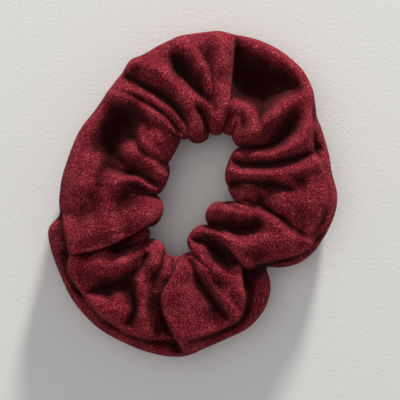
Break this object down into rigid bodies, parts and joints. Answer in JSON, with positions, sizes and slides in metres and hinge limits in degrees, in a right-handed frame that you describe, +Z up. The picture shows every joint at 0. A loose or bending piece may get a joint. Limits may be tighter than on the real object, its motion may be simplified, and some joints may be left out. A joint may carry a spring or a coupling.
{
  "type": "scrunchie",
  "caption": "Gathered velvet hair scrunchie: a cloth tube ruffled over a loop of flat elastic, which stretches and springs back.",
  "frame": {"origin": "on the surface that the scrunchie lies on, under the middle of its outline", "axes": "+Z up out of the table and through the ring's hole, +Y along the longer side of the outline and the way the loop is pulled, +X across"},
  "size_m": [0.1038, 0.1186, 0.0267],
  "materials": {
    "velvet": "deep wine-red velvet with a short mottled pile",
    "elastic": "off-white braided flat elastic",
    "thread": "dark red polyester sewing thread"
  },
  "bodies": {
    "held_end": {"casing_puff_01": "velvet", "casing_puff_11": "velvet", "casing_puff_12": "velvet", "casing_puff_13": "velvet", "casing_puff_14": "velvet", "casing_puff_15": "velvet", "casing_puff_16": "velvet", "casing_puff_17": "velvet", "casing_puff_18": "velvet", "elastic_band": "elastic", "elastic_join_stitches": "thread", "long_seam_thread": "thread"},
    "pulled_end": {"casing_puff_02": "velvet", "casing_puff_03": "velvet", "casing_puff_04": "velvet", "casing_puff_05": "velvet", "casing_puff_06": "velvet", "casing_puff_07": "velvet", "casing_puff_08": "velvet", "casing_puff_09": "velvet", "casing_puff_10": "velvet", "closing_seam_thread": "thread"}
  },
  "joints": [
    {"name": "stretch", "type": "slide", "parent": "held_end", "child": "pulled_end", "axis": [0, 1, 0], "range_m": [0, 0.07], "stiffness_N_per_m": 60, "deforming": ["elastic_band", "long_seam_thread"]}
  ]
}
